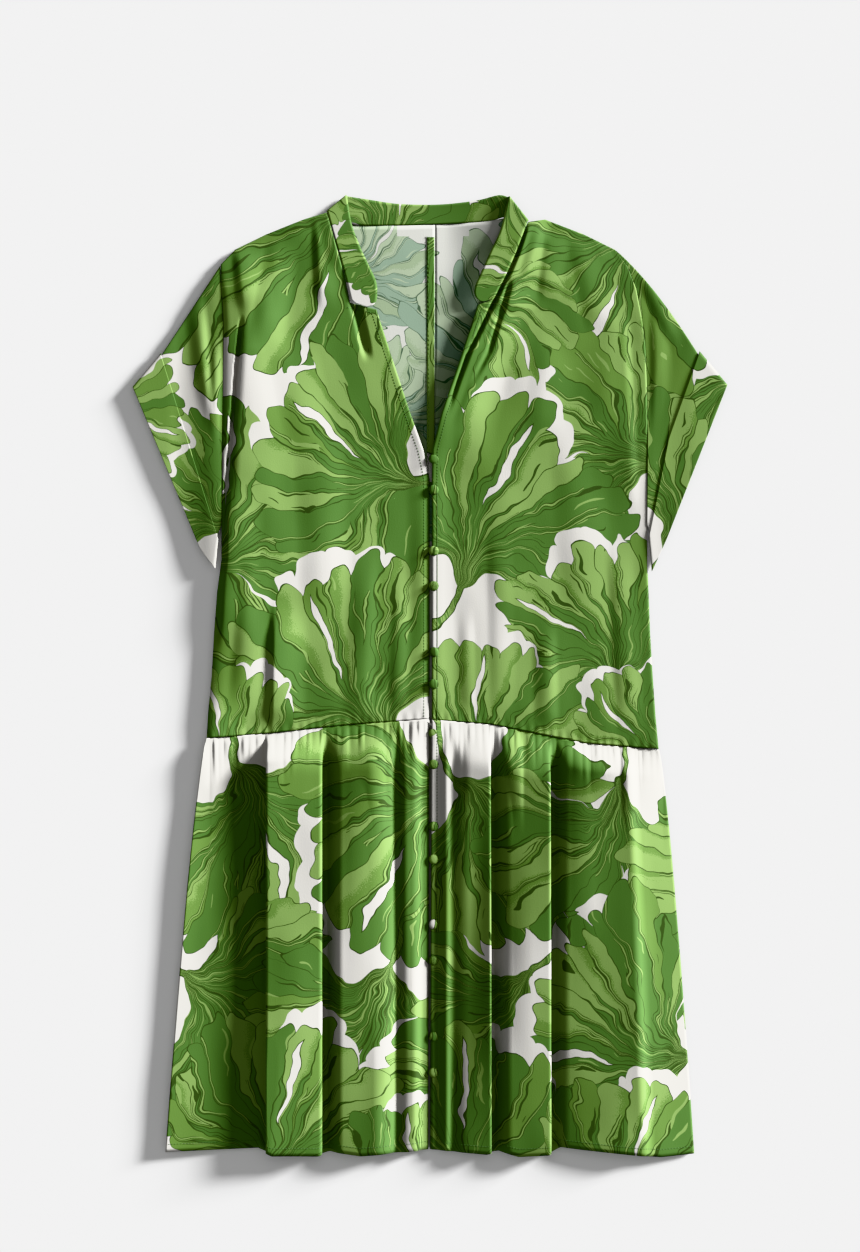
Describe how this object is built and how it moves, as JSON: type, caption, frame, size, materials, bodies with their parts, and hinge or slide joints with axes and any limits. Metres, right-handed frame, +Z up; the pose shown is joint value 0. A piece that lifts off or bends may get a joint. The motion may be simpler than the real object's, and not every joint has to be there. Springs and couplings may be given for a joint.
{
  "type": "tunic dress",
  "caption": "Button-through tunic dress laid out flat: V neck with a stand band, short cuffed sleeves, gathered skirt, green fan-leaf print.",
  "frame": {"origin": "middle of the underside of the dress's box, on the surface that it lies on", "axes": "+X is the wearer's left, +Y runs from the hem towards the neck, +Z is up from the surface to the front of the dress"},
  "size_m": [0.594, 0.9611, 0.0115],
  "materials": {
    "print_cloth": "crepe viscose, printed, matt with a faint sheen",
    "wrong_side": "the same cloth seen from its wrong side, matt",
    "button_cloth": "cloth-covered button, matt"
  },
  "bodies": {
    "root": {"front_bodice_right": "print_cloth", "sleeve_right": "print_cloth", "cuff_right": "print_cloth", "skirt_front_right": "print_cloth", "front_bodice_left": "print_cloth", "sleeve_left": "print_cloth", "cuff_left": "print_cloth", "skirt_front_left": "print_cloth", "collar_band": "print_cloth", "back_bodice_right": "wrong_side", "back_bodice_left": "wrong_side", "skirt_back": "wrong_side", "button_01": "button_cloth", "button_02": "button_cloth", "button_03": "button_cloth", "button_04": "button_cloth", "button_05": "button_cloth", "button_06": "button_cloth", "button_07": "button_cloth", "button_08": "button_cloth", "button_09": "button_cloth", "button_10": "button_cloth", "button_11": "button_cloth", "button_12": "button_cloth", "button_13": "button_cloth", "button_14": "button_cloth"}
  },
  "joints": []
}
